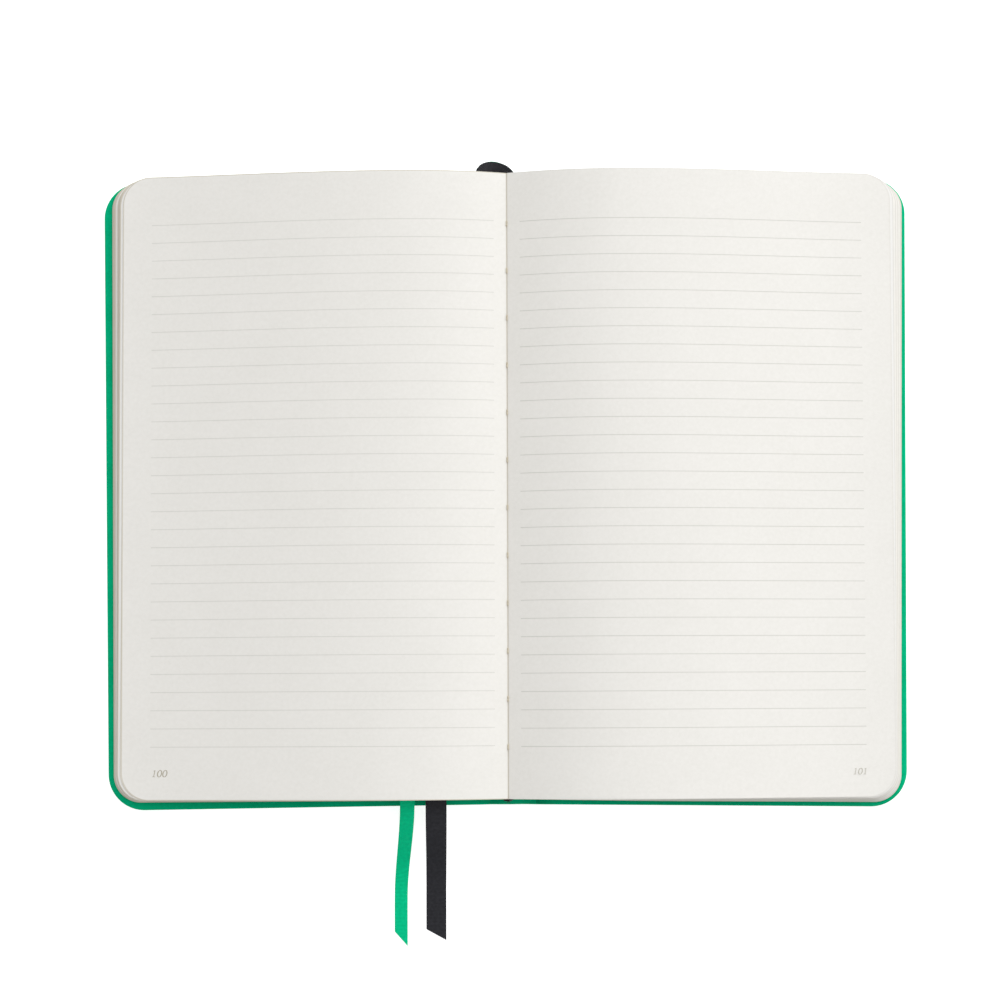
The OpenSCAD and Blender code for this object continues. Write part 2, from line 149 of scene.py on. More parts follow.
def ribbon_route(lift, share, loop_r, loop_reach, loop_w, out_x, out_m, end_x, end_y, width, flare):
    """Rows of x, y, z, tilt, turn and half width: straight under the back, round the head on half
    an ellipse, under the left-hand leaves on a cubic, then down to the table on half a cosine.
    It is pulled wider by the share flare where it leaves the book."""
    def lay(x, y):
        """Height of the leaves above, less the ribbon's share of its room."""
        return low_z(-1, -x - y * np.sin(swing[-1]) * held(-x)) - share * ribbon_room

    def tilt(x, y):
        """Angle across: the arc tangent of the fall in height over one millimetre."""
        return np.arctan(lay(x - 0.5, y) - lay(x + 0.5, y))

    def rows(*columns):
        """The columns side by side, single values repeated to the others' length."""
        return np.column_stack(np.broadcast_arrays(*columns))

    under_z = spine_rise + 2 * wrap_t + strip_t + lift
    in_x, in_y, out_y = loop_x - loop_r, leaf_h / 2 + end_gap, end_gap - leaf_h / 2
    under = rows(glued_x, [leaf_h / 2 - glued_l, leaf_h / 2 - free_l], under_z, 0, 0, width / 2)
    a = np.radians(np.arange(0, 181, 18))
    rise = (1 - np.cos(a)) / 2
    loop = rows(loop_x + loop_r * np.cos(a) - loop_skew * np.sin(a), in_y + loop_reach * np.sin(a),
                mix(under_z, lay(in_x, in_y), rise), tilt(in_x, in_y) * rise, a,
                mix(width / 2, loop_w, np.sin(a)))
    t = np.arange(1, 13) / 12
    y = mix(in_y, out_y, t)
    x = cubic(y, in_y, in_x, 2 * (out_x - in_x) / (out_y - in_y) - out_m, out_y, out_x, out_m)
    inside = rows(x, y, lay(x, y), tilt(x, y), np.pi, width / 2 * (1 + flare * t**8))
    t = np.arange(1, 9) / 8
    y = mix(out_y, end_y, t)
    fallen = (1 - np.cos(np.pi * np.minimum(1, (out_y - y) / fall_l))) / 2
    tail = rows(mix(out_x, end_x, (1 - np.cos(np.pi * np.minimum(1, 1.4 * t))) / 2), y,
                mix(lay(out_x, out_y), ribbon_t / 2 + lie_gap, fallen),
                tilt(out_x, out_y) * (1 - fallen), np.pi,
                width / 2 * (1 + flare * (1 - smooth_step(1.4 * t))))
    route = np.vstack([under, loop, inside, tail])
    route[:, 0] += base_x(np.abs(route[:, 0]), route[:, 1])
    return route + [0, leaf_middle_y, 0, 0, 0, 0]


def smooth_rows(rows, count):
    """Even steps along a cubic through all rows, with slopes from each row's two neighbours."""
    steps = np.linalg.norm(np.diff(rows[:, :3], axis=0), axis=1)
    length = np.concatenate([[0], np.cumsum(steps)])
    slopes = np.gradient(rows, length, axis=0)
    s = np.linspace(0, length[-1], count)
    i = np.clip(np.searchsorted(length, s, side="right") - 1, 0, len(rows) - 2)
    w = (length[i + 1] - length[i])[:, None]
    t = (s[:, None] - length[i][:, None]) / w
    return (rows[i] * (2 * t**3 - 3 * t**2 + 1) + slopes[i] * w * (t**3 - 2 * t**2 + t)
            + rows[i + 1] * (3 * t**2 - 2 * t**3) + slopes[i + 1] * w * (t**3 - t**2))


def linear(code):
    """Linear red, green, blue and alpha of an sRGB colour written as six hex digits."""
    value = np.array([int(code[i:i + 2], 16) for i in (0, 2, 4)]) / 255
    value = np.where(value <= 0.04045, value / 12.92, ((value + 0.055) / 1.055) ** 2.4)
    return (*value.tolist(), 1.0)


def add(material, kind, links=None, **settings):
    """Adds a node, gives it its settings, and fills its sockets with values or other outputs."""
    made = material.node_tree.nodes.new(kind)
    for name, value in settings.items():
        setattr(made, name, value)
    for name, value in (links or {}).items():
        if isinstance(value, bpy.types.NodeSocket):
            material.node_tree.links.new(value, made.inputs[name])
        else:
            made.inputs[name].default_value = value
    return made


def new_material(name, **constants):
    """A named material with its shader's constant sockets set; returns it and its shader."""
    material = bpy.data.materials.new(name)
    material.use_nodes = True
    shader = material.node_tree.nodes["Principled BSDF"]
    for socket, value in constants.items():
        shader.inputs[socket.replace("_", " ")].default_value = value
    return material, shader


def put_mesh(name, points, faces, materials, body, uv=None, which=None, smooth=True,
             inner=(0, 0, 0)):
    """A mesh piece from points in millimetres and quads. Its faces are turned round if the sum of
    each face's normal times the way to it from the inner point comes out negative."""
    points = np.asarray(points, float).reshape(-1, 3)
    faces = np.asarray(faces)
    corner = points[faces] - inner
    normal = (np.cross(corner[:, 1] - corner[:, 0], corner[:, 2] - corner[:, 0])
              + np.cross(corner[:, 2] - corner[:, 0], corner[:, 3] - corner[:, 0]))
    if np.einsum("ij,ij->", corner[:, 0], normal) < 0:
        faces = faces[:, ::-1]
    mesh = bpy.data.meshes.new(name)
    mesh.from_pydata((points / 1000).tolist(), [], faces.tolist())
    for material in materials:
        mesh.materials.append(material)
    if which is not None:
        mesh.polygons.foreach_set("material_index", np.asarray(which, np.int32))
    if uv is not None:
        layer = mesh.uv_layers.new(name="flat")
        laid = uv.reshape(-1, 2)[faces.reshape(-1)].astype(np.float32)
        layer.data.foreach_set("uv", laid.reshape(-1))
    mesh.polygons.foreach_set("use_smooth", np.full(len(faces), smooth))
    mesh.update()
    if smooth:
        mesh.set_sharp_from_angle(angle=0.6)
    piece = bpy.data.objects.new(name, mesh)
    bpy.context.scene.collection.objects.link(piece)
    if body:
        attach(piece, body)
    return piece


def grid_faces(rows, columns, around=False):
    """Quads of a grid of points; around joins the last column to the first."""
    i, j = np.meshgrid(np.arange(rows - 1), np.arange(columns if around else columns - 1),
                       indexing="ij")
    i, j, k = i.ravel(), j.ravel(), (j.ravel() + 1) % columns
    return np.column_stack([i * columns + j, i * columns + k,
                            (i + 1) * columns + k, (i + 1) * columns + j])


def rung_faces(columns, row):
    """Quads that close one end of a flattened tube, from one half of the ring to the other."""
    k = np.arange(columns // 2 - 1)
    return row * columns + np.column_stack([k, k + 1, columns - 2 - k, columns - 1 - k])


def tube_faces(rows, columns):
    """Quads of a closed tube of flattened rings with both ends shut."""
    return np.vstack([grid_faces(rows, columns, True), rung_faces(columns, 0)[:, ::-1],
                      rung_faces(columns, rows - 1)])


def make_ribbon(name, run, cut, count=420, across_count=9):
    """A flat ribbon: at each step along its route a slim lens, crossed by lines square to the
    route. Its last rows slant by cut, the share of its length to the thirtieth power."""
    rows = smooth_rows(run, count)
    path, tilt, turn, half_w = rows[:, :3], rows[:, 3], rows[:, 4], rows[:, 5]
    along = np.gradient(path, axis=0)
    along /= np.linalg.norm(along, axis=1, keepdims=True)
    flat = np.column_stack([np.cos(turn) * np.cos(tilt), np.sin(turn) * np.cos(tilt), np.sin(tilt)])
    across = flat - np.einsum("ij,ij->i", flat, along)[:, None] * along
    across /= np.linalg.norm(across, axis=1, keepdims=True)
    normal = np.cross(along, across)
    share = np.linspace(-1, 1, across_count)
    edge = np.where(np.abs(share) > 0.9, 0.8, 1.0)
    ring = np.concatenate([share, share[::-1]])
    ring_w = half_w[:, None] * ring[None]
    ring_h = np.concatenate([edge, -edge]) * ribbon_t / 2
    slant = (np.linspace(0, 1, count) ** 30)[:, None] * -cut * ring
    points = (path[:, None] + ring_w[..., None] * across[:, None]
              + ring_h[None, :, None] * normal[:, None] + slant[..., None] * along[:, None])
    length = np.linalg.norm(np.diff(path, axis=0), axis=1).sum()
    uv = np.stack([ring_w, np.linspace(0, length, count)[:, None] + slant], axis=2)
    material, shader = new_material(name + "_woven_rayon_satin", Roughness=0.45,
                                    Specular_IOR_Level=0.06)
    piece = put_mesh(name.replace("ribbon", "marker"), points, tube_faces(count, 2 * across_count),
                     [material], "book_block", uv=uv)
    return piece, path, length, material, shader


def weave(material, shader, deep, sheen_tone):
    """Stripes of painted sheen along the ribs of weft across the ribbon, and slow changes of
    painted sheen, in the ribbon's colour on its own flat map; the ribs also bump the surface. The
    ribs are a few threads wide each, coarser than the real weft, so that they show."""
    flat = add(material, "ShaderNodeUVMap", uv_map="flat")
    parts = add(material, "ShaderNodeSeparateXYZ", {0: flat.outputs[0]})
    turns = add(material, "ShaderNodeMath", {0: parts.outputs[1], 1: 2 * np.pi / weft_pitch},
                operation="MULTIPLY")
    rib = add(material, "ShaderNodeMath", {0: turns.outputs[0]}, operation="SINE")
    cloud = add(material, "ShaderNodeTexNoise",
                {"Vector": flat.outputs[0], "Scale": 0.9, "Detail": 3})
    # Painted sheen: the colour runs between the deep tone and the sheen tone with the ribs and a
    # slow cloud.
    painted_sheen = add(material, "ShaderNodeMath", {0: rib.outputs[0], 1: weft_share, 2: cloud.outputs[0]},
                operation="MULTIPLY_ADD")
    tint = add(material, "ShaderNodeMix",
               {0: painted_sheen.outputs[0], 6: linear(deep), 7: linear(sheen_tone)}, data_type="RGBA")
    bump = add(material, "ShaderNodeBump",
               {"Strength": 0.5, "Distance": weft_depth / 1000, "Height": rib.outputs[0]})
    material.node_tree.links.new(tint.outputs[2], shader.inputs["Base Color"])
    material.node_tree.links.new(bump.outputs[0], shader.inputs["Normal"])


run = ribbon_route(lift=0.72, share=0.3, loop_r=3.4, loop_reach=2.5, loop_w=2.05, out_x=-23.8,
                   out_m=0.02, end_x=-24.1, end_y=-149, width=6.6, flare=0.05)
black_ribbon, path, length, material, shader = make_ribbon("black_ribbon", run, cut=1.8)
weave(material, shader, "232326", "3B3B40")
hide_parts("black_ribbon")

# ---- green ribbon marker ----
# A narrower ribbon of the same make, dyed to match the covering. It lies under the black one all
# the way and swings further out toward the tail.
run = ribbon_route(lift=0.36, share=0.7, loop_r=3.9, loop_reach=3.0, loop_w=1.7, out_x=-33.2,
                   out_m=0.06, end_x=-35.8, end_y=-150.3, width=4.3, flare=0.12)
green_ribbon, path, length, material, shader = make_ribbon("green_ribbon", run, cut=2.4)
weave(material, shader, "00BE84", "02E2A2")
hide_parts("green_ribbon")

# ---- leaves ----
# Smooth cream book paper in sewn gatherings. Each half fans out toward the fore-edge in a few
# steps, and the gatherings lie a hair out of line, so the cut edges show as fine lines, with
# painted shade along each sheet's edge.
gatherings, gathering_share, first_depth = 30, 0.93, 0.02
leaf_corner_r, thread_r, near_w = 9.2, 0.22, 44.0
fan_w, fore_t = {-1: 3.7, 1: 3.3}, {-1: 4.9, 1: 4.1}
gutter_slope, fore_slope = np.radians(25), np.radians(5.5)
step_at = {-1: (0.04, 0.45), 1: (0.04, 0.3, 0.55, 0.8)}
step_w = {-1: (1.0, 0.6), 1: (0.76, 0.76, 0.76, 0.66)}
last_stand, stand_spread, tail_skew, skew_fade = {-1: 3.7, 1: 2.98}, 0.02, 0.0035, 1.2
edge_in, edge_full = 0.36, 0.2
top_reach = {side: low_reach - fan_w[side] for side in (-1, 1)}
straight_w = low_reach - leaf_corner_r
# A leaf's edge runs in close steps out to near_w, in wider ones to the corner, then round it.
near_n, far_n, turn_n = 60, 41, 16
share = np.concatenate([np.linspace(0, 1, near_n + 1)[:-1] * near_w / straight_w,
                        np.linspace(near_w / straight_w, 1, far_n), np.ones(turn_n)])
turn = np.concatenate([np.zeros(near_n + far_n),
                       np.radians(90) * np.arange(1, turn_n + 1) / turn_n])
leaf_half_h = leaf_h / 2 - leaf_corner_r * (1 - np.cos(turn))


def top_z(side, x):
    """Height of the top leaf: two cubics, up out of the gutter and down to the fore-edge."""
    crown = rest_z + crown_rise[side]
    near = cubic(x, 0, gutter_z, np.tan(gutter_slope), crown_x, crown, 0)
    far = cubic(x, crown_x, crown, 0, top_reach[side], rest_z + fore_t[side], -np.tan(fore_slope))
    return np.where(x < crown_x, near, far)


def leaf_x(side, u):
    """Distance from the gutter at depth u: a straight run, then the sine of the corner's angle."""
    reach = mix(top_reach[side], low_reach, u) - leaf_corner_r
    return mix(mix(2 * thread_r, foot_x, u), reach, share) + leaf_corner_r * np.sin(turn)


def fanned(side, x, y, z, u):
    """A point turned about the gutter by its share of the swing, then moved to the gutter."""
    a = swing[side] * u * held(x)
    return np.stack(np.broadcast_arrays(base_x(x, y) + side * (x * np.cos(a) + y * np.sin(a)),
                                        y * np.cos(a) - x * np.sin(a) + leaf_middle_y, z), axis=-1)


def leaf_edge(side, end, depth, stand, skew):
    """Edge of a gathering from gutter to fore-edge. It stands out past the top leaf by stand at
    the fore-edge, and more toward the tail by skew times its distance from the middle."""
    u = stand / fan_w[side]
    x = leaf_x(side, u)
    y = end * leaf_half_h
    z = mix(top_z(side, x), low_z(side, leaf_x(side, 1)), depth)
    return fanned(side, x - skew * y * share, y, z, u)


def leaf_loops(k, depths):
    """Rings of four corners from the right fore-edge over the fold to the left fore-edge."""
    ring = [(-1, depths[0]), (-1, depths[1]), (1, depths[1]), (1, depths[0])]
    halves = [np.stack([leaf_edge(side, end, d, stands[side][k], skews[side][k])
                        for end, d in ring], axis=1) for side in (1, -1)]
    fold = np.array([[base_x(0, end * leaf_h / 2), leaf_middle_y + end * leaf_h / 2,
                      gutter_z - fold_t * d] for end, d in ring])
    return np.concatenate([halves[0][::-1], fold[None], halves[1]])


def leaf_flat(k):
    """The same rings laid flat, each measured in from its own gathering's fore-edge."""
    halves = []
    for side in (1, -1):
        u = stands[side][k] / fan_w[side]
        x = side * (leaf_x(side, u) - mix(top_reach[side], low_reach, u) + top_reach[-1])
        halves.append(np.stack([np.column_stack([x, end * leaf_half_h])
                                for end in (-1, -1, 1, 1)], axis=1))
    fold = np.array([[0, end * leaf_h / 2] for end in (-1, -1, 1, 1)])
    return np.concatenate([halves[0][::-1], fold[None], halves[1]])


def repeat_faces(faces, count, points):
    """The faces of one shape, repeated for count shapes of so many points each."""
    return (faces[None] + np.arange(count)[:, None, None] * points).reshape(-1, 4)


def mottled(name, scale, detail, deep, pale, **constants):
    """A material that a fine noise of its own place runs between two tones. Returns it with its
    shader, the noise and the colour; scale is the noise's turns per metre."""
    material, shader = new_material(name, **constants)
    place = add(material, "ShaderNodeTexCoord")
    grain = add(material, "ShaderNodeTexNoise",
                {"Vector": place.outputs["Object"], "Scale": scale, "Detail": detail})
    tint = add(material, "ShaderNodeMix",
               {0: grain.outputs[0], 6: linear(deep), 7: linear(pale)}, data_type="RGBA")
    material.node_tree.links.new(tint.outputs[2], shader.inputs["Base Color"])
    return material, shader, grain.outputs[0], tint.outputs[2]


def painted_edge_shade(material, flat, paper, left_shade, right_shade):
    """Mixes a thin line of painted shade into a sheet's colour along its edge, beige and deeper on
    the left, grey and fainter on the right: there the distance past the corners' centres is close
    to the corner's radius."""
    place = add(material, "ShaderNodeVectorMath", {0: flat}, operation="ABSOLUTE")
    centre = (top_reach[-1] - leaf_corner_r, leaf_h / 2 - leaf_corner_r, 0)
    past = add(material, "ShaderNodeVectorMath", {0: place.outputs[0], 1: centre},
               operation="SUBTRACT")
    past = add(material, "ShaderNodeVectorMath", {0: past.outputs[0], 1: (0, 0, 0)},
               operation="MAXIMUM")
    past = add(material, "ShaderNodeVectorMath", {0: past.outputs[0]}, operation="LENGTH")
    line = add(material, "ShaderNodeMapRange", {
        0: past.outputs["Value"], 1: leaf_corner_r - edge_in, 2: leaf_corner_r - edge_full,
        3: 0.0, 4: 1.0})
    parts = add(material, "ShaderNodeSeparateXYZ", {0: flat})
    right = add(material, "ShaderNodeMath", {0: parts.outputs[0], 1: 0.0},
                operation="GREATER_THAN")
    depth = add(material, "ShaderNodeMapRange",
                {0: right.outputs[0], 3: left_shade, 4: right_shade})
    line = add(material, "ShaderNodeMath", {0: line.outputs[0], 1: depth.outputs[0]},
               operation="MULTIPLY")
    colour = add(material, "ShaderNodeMix",
                 {0: right.outputs[0], 6: linear("C4B89C"), 7: linear("BAB7AE")}, data_type="RGBA")
    return add(material, "ShaderNodeMix", {0: line.outputs[0], 6: paper, 7: colour.outputs[2]},
               data_type="RGBA")


# The cut edges are duller than the sheets' faces, and darker and warmer, partly their own tone and
# partly painted shade. Their layers, 0.11 mm deep, are single leaves, light and dark by turns, the
# dark ones partly painted shade in the gaps between leaves.
book_paper, shader = new_material("book_paper_cut_edge", Roughness=0.85, Specular_IOR_Level=0.25)
place = add(book_paper, "ShaderNodeTexCoord")
layered = add(book_paper, "ShaderNodeMapping",
              {"Vector": place.outputs["Object"], "Scale": (60, 60, 9000)})
layers = add(book_paper, "ShaderNodeTexNoise",
             {"Vector": layered.outputs[0], "Scale": 1.0, "Detail": 2})
# The tint runs from a darker, warmer tone to a paler one, the dark layers partly painted shade
# between the leaves.
tint = add(book_paper, "ShaderNodeMix",
           {0: layers.outputs[0], 6: linear("D2C9B2"), 7: linear("F0E9D8")}, data_type="RGBA")
bump = add(book_paper, "ShaderNodeBump",
           {"Strength": 0.4, "Distance": 0.0001, "Height": layers.outputs[0]})
book_paper.node_tree.links.new(tint.outputs[2], shader.inputs["Base Color"])
book_paper.node_tree.links.new(bump.outputs[0], shader.inputs["Normal"])

# The sheets' faces are matt, with fibres about a millimetre long, and carry painted shade along the
# edge.
sheet_paper, shader, _, tint = mottled("book_paper_sheet", scale=900, detail=4, deep="F5F4F1",
                                       pale="FBFAF7", Roughness=0.85, Specular_IOR_Level=0.2)
flat = add(sheet_paper, "ShaderNodeUVMap", uv_map="flat")
# Painted shade along each sheet's edge, deeper on the left than on the right.
edge_shaded = painted_edge_shade(sheet_paper, flat.outputs[0], tint, left_shade=0.50, right_shade=0.26)
sheet_paper.node_tree.links.new(edge_shaded.outputs[2], shader.inputs["Base Color"])

seeded = np.random.default_rng(101)
down = (np.arange(gatherings) + 0.5) / gatherings
stands, skews = {}, {}
for side in (-1, 1):
    jumps = sum(w * (down > at) for at, w in zip(step_at[side], step_w[side]))
    stands[side] = (jumps + (last_stand[side] - sum(step_w[side])) * down**0.9
                    + seeded.normal(0, stand_spread, gatherings))
    skews[side] = -side * tail_skew * (1 - smooth_step(down * skew_fade))
depths = np.linspace(first_depth, 1, gatherings + 1)
loops = [leaf_loops(k, (depths[k], mix(depths[k], depths[k + 1], gathering_share)))
         for k in range(gatherings)]
ring_count = len(loops[0])
one = tube_faces(ring_count, 4)
# Of a ring's four sides the second and fourth are flat faces, the others and the ends cut edges.
count = np.arange(len(one))
flat_face = np.tile(count % 2 * (count < 4 * (ring_count - 1)), gatherings)
leaves = put_mesh("gatherings", np.concatenate(loops),
                  repeat_faces(one, gatherings, ring_count * 4), [book_paper, sheet_paper],
                  "book_block",
                  uv=np.concatenate([leaf_flat(k) for k in range(gatherings)]), which=flat_face,
                  smooth=False)
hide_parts("text_block")

# ---- open pages ----
# The two pages that lie open are one sheet, folded and sewn in the middle. Fine grey-beige rules
# stand 6 mm apart, with clear margins at head, tail and outer edge. The paper is matt and even,
# with painted shade in the fold and along the outer edge.
rules, rule_pitch, rule_w, rule_blur = 30, 6.0, 0.24, 0.03
first_rule, rule_in, rule_out, right_rule_y = 87.62, 4.3, 118.4, 0.32
left_ink, right_ink, crease_shade_depth = 0.30, 0.40, 0.8
page_t, right_in, right_turn, crease_shade_w = 0.1, 0.2, np.radians(0.2), 0.15
across_n = 41
rows, printed = [], []
# The right page starts a little nearer the gutter, and its outer edge is turned a little.
for side in (1, -1):
    x = leaf_x(side, 0)
    v = np.linspace(-1, 1, across_n)
    y = leaf_half_h[:, None] * v[None, :]
    z = np.broadcast_to(top_z(side, x)[:, None], y.shape)
    is_right = max(0, side)
    out = np.broadcast_to((x - is_right * right_in)[:, None], y.shape)
    moved = is_right * (right_in + y * np.tan(right_turn)) * share[:, None]
    rows.append(np.stack([base_x(out, y) + side * out + moved, y + leaf_middle_y, z], axis=2))
    printed.append(np.stack([side * out, y], axis=2))
v = v * leaf_h / 2
crease = np.stack([base_x(0, v), v + leaf_middle_y, np.full(across_n, gutter_z)], axis=1)
upper = np.concatenate([rows[0][::-1], crease[None], rows[1]])
lower = upper - [0, 0, page_t]
ring = np.concatenate([upper, lower[:, ::-1]], axis=1)
laid = np.concatenate([printed[0][::-1], np.stack([0 * v, v], axis=1)[None], printed[1]])
uv = np.concatenate([laid, laid[:, ::-1]], axis=1)
page_paper, shader = new_material("page_paper_ruled", Roughness=0.8, Specular_IOR_Level=0.3)
flat = add(page_paper, "ShaderNodeUVMap", uv_map="flat")
parts = add(page_paper, "ShaderNodeSeparateXYZ", {0: flat.outputs[0]})
reach = add(page_paper, "ShaderNodeMath", {0: parts.outputs[0]}, operation="ABSOLUTE")
right = add(page_paper, "ShaderNodeMath", {0: parts.outputs[0], 1: 0.0}, operation="GREATER_THAN")
printed_y = add(page_paper, "ShaderNodeMath",
                {0: right.outputs[0], 1: right_rule_y, 2: parts.outputs[1]},
                operation="MULTIPLY_ADD")
step = add(page_paper, "ShaderNodeMath", {0: printed_y.outputs[0], 1: -first_rule},
           operation="ADD")
wave = add(page_paper, "ShaderNodeMath", {0: step.outputs[0], 1: rule_pitch / 2},
           operation="PINGPONG")
on_rule = add(page_paper, "ShaderNodeMapRange", {
    0: wave.outputs[0], 1: rule_w / 2 + rule_blur, 2: rule_w / 2 - rule_blur, 3: 0.0, 4: 1.0})
half_run = (rules - 1) / 2
height = add(page_paper, "ShaderNodeMath", {
    0: printed_y.outputs[0], 1: first_rule - half_run * rule_pitch,
    2: (half_run + 0.1) * rule_pitch}, operation="COMPARE")
width = add(page_paper, "ShaderNodeMath", {
    0: reach.outputs[0], 1: (rule_in + rule_out) / 2, 2: (rule_out - rule_in) / 2},
    operation="COMPARE")
inside = add(page_paper, "ShaderNodeMath", {0: height.outputs[0], 1: width.outputs[0]},
             operation="MULTIPLY")
depth = add(page_paper, "ShaderNodeMapRange", {0: right.outputs[0], 3: left_ink, 4: right_ink})
ink = add(page_paper, "ShaderNodeMath", {0: inside.outputs[0], 1: on_rule.outputs[0]},
          operation="MULTIPLY")
ink = add(page_paper, "ShaderNodeMath", {0: ink.outputs[0], 1: depth.outputs[0]},
          operation="MULTIPLY")
place = add(page_paper, "ShaderNodeTexCoord")
fibre = add(page_paper, "ShaderNodeTexNoise",
            {"Vector": place.outputs["Object"], "Scale": 900, "Detail": 4})
cloud = add(page_paper, "ShaderNodeTexNoise",
            {"Vector": place.outputs["Object"], "Scale": 60, "Detail": 3})
mottle = add(page_paper, "ShaderNodeMath", {0: cloud.outputs[0], 1: 0.5, 2: fibre.outputs[0]},
             operation="MULTIPLY_ADD")
tint = add(page_paper, "ShaderNodeMix",
           {0: mottle.outputs[0], 6: linear("EEECE6"), 7: linear("F8F6F1")}, data_type="RGBA")
inked = add(page_paper, "ShaderNodeMix",
            {0: ink.outputs[0], 6: tint.outputs[2], 7: linear("A8A79C")}, data_type="RGBA")
# Painted shade in the fold: the page darkens toward the crease.
crease_shade = add(page_paper, "ShaderNodeMapRange",
           {0: reach.outputs[0], 1: 2 * crease_shade_w, 2: crease_shade_w, 3: 0.0, 4: crease_shade_depth})
inked = add(page_paper, "ShaderNodeMix",
            {0: crease_shade.outputs[0], 6: inked.outputs[2], 7: linear("CFC8BA")}, data_type="RGBA")
# Painted shade along the page's outer edge, deeper on the left than on the right.
inked = painted_edge_shade(page_paper, flat.outputs[0], inked.outputs[2],
                  left_shade=0.50, right_shade=0.1)
bump = add(page_paper, "ShaderNodeBump",
           {"Strength": 0.15, "Distance": 0.0001, "Height": fibre.outputs[0]})
page_paper.node_tree.links.new(inked.outputs[2], shader.inputs["Base Color"])
page_paper.node_tree.links.new(bump.outputs[0], shader.inputs["Normal"])
put_mesh("open_pages", ring, tube_faces(len(ring), 2 * across_n), [page_paper],
         "book_block", uv=uv)

# ---- page numbers ----
# Small old-style numerals printed in grey-beige ink at the foot of the outer margin. Each is a
# thin film on the page, drawn as a pen of changing width along its strokes.
digit_h, digit_w, digit_slant = 2.17, 1.78, np.tan(np.radians(12))
film_over, film_under = 0.03, 0.01
nought_r, pen_thin, pen_swell, stem_pen, serif_pen, serif_half = 0.66, 0.19, 0.18, 0.26, 0.15, 0.5
foot_rise, flag_x, flag_in, flag_fall = 0.06, 0.12, 0.08, 0.2


def stroke(centre, width):
    """A pen stroke: points either side of its centre line by half its width, square to it."""
    along = np.gradient(centre, axis=0)
    along /= np.linalg.norm(along, axis=1, keepdims=True)
    side = np.column_stack([-along[:, 1], along[:, 0]]) * np.asarray(width)[:, None] / 2
    return np.stack([centre + side, centre - side], axis=1)


angle = np.linspace(0, 2 * np.pi, 41)
nought = stroke(np.column_stack([nought_r * np.cos(angle), 0.5 * digit_h * (1 + np.sin(angle))]),
                pen_thin + pen_swell * np.abs(np.cos(angle)))
stem = np.linspace(0, 1, 9)
one_strokes = [
    stroke(np.column_stack([0 * stem, digit_h * stem]), 0 * stem + stem_pen),
    stroke(np.column_stack([mix(-serif_half, serif_half, stem), 0 * stem + foot_rise]),
           0 * stem + serif_pen),
    stroke(np.column_stack([mix(-serif_half, flag_x, stem),
                            digit_h - flag_in - flag_fall * (1 - stem)]), 0 * stem + serif_pen)]


def put_number(name, digits, side, x_mid, y_low, size, thin, full):
    """Digits set side by side, slanted, laid just above the page by its own height formula. The
    ink takes two tones, thin and full."""
    ink, *_ = mottled("printers_ink_" + name, scale=4000, detail=2, deep=full, pale=thin,
                      Roughness=0.7, Specular_IOR_Level=0.2)
    parts, faces, count = [], [], 0
    for order, digit in enumerate(digits):
        for pen in (one_strokes if digit == "1" else [nought]):
            x = (pen[..., 0] + pen[..., 1] * digit_slant + (order - 1) * digit_w) * size + x_mid
            y = pen[..., 1] * size + y_low
            z = top_z(side, np.abs(x))
            top = np.stack([x + leaves_x, y + leaf_middle_y, z + film_over], axis=-1)
            low = np.stack([x + leaves_x, y + leaf_middle_y, z - film_under], axis=-1)
            tube = np.concatenate([top, low[:, ::-1]], axis=1)
            parts.append(tube.reshape(-1, 3))
            faces.append(tube_faces(len(tube), 4) + count)
            count += tube.shape[0] * 4
    put_mesh(name, np.concatenate(parts), np.concatenate(faces), [ink],
             "book_block", smooth=False)


put_number("left_page_number", "100", -1, x_mid=-115.45, y_low=-96.18, size=1.0,
           thin="C9C3B4", full="ACA594")
put_number("right_page_number", "101", 1, x_mid=115.9, y_low=-96.5, size=0.93,
           thin="DAD7CD", full="C3C0B5")

# ---- sewing thread ----
# Two-ply linen thread through the fold: at each sewing station one short stitch shows in the
# gutter and dips into the paper at its middle and at both ends. It is dull, with stray fibres.
station_count, station_pitch, stitch_l = 12, 15.8, 2.0
ply_depth, ply_turns, pressed, dip_h, dip_w, seat_gap = 0.16, 9, 1.25, 0.12, 0.18, 0.02
steps = np.linspace(-1, 1, 41)
round_a = np.linspace(0, 2 * np.pi, 12, endpoint=False)
# Its radius holds along the stitch and closes at the ends. Two plies twist round each other.
radius = thread_r * np.sqrt(np.clip(1 - steps**8, 0.02, 1))
ply = 1 + ply_depth * np.cos(2 * (round_a[None, :] - steps[:, None] * ply_turns))
dip = dip_h * np.exp(-((steps / dip_w) ** 2))
stitch = np.stack([radius[:, None] * ply * np.cos(round_a)[None, :] * pressed,
                   np.broadcast_to((steps * stitch_l / 2)[:, None], ply.shape),
                   radius[:, None] * ply * np.sin(round_a)[None, :] - dip[:, None]], axis=2)
stations = (np.arange(station_count) - (station_count - 1) / 2) * station_pitch
seat_z = gutter_z + thread_r / np.cos(gutter_slope) + seat_gap
seats = np.stack([base_x(0, stations), stations + leaf_middle_y, 0 * stations + seat_z], axis=1)
one = tube_faces(len(steps), len(round_a))
linen, *_ = mottled("linen_thread_twisted", scale=2500, detail=3, deep="C2B79F", pale="DDD5C2",
                    Roughness=0.75, Sheen_Weight=0.2)
thread = put_mesh("stitches", stitch + seats[:, None, None],
                  repeat_faces(one, station_count, len(steps) * len(round_a)), [linen],
                  "book_block")
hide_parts("sewing_thread")

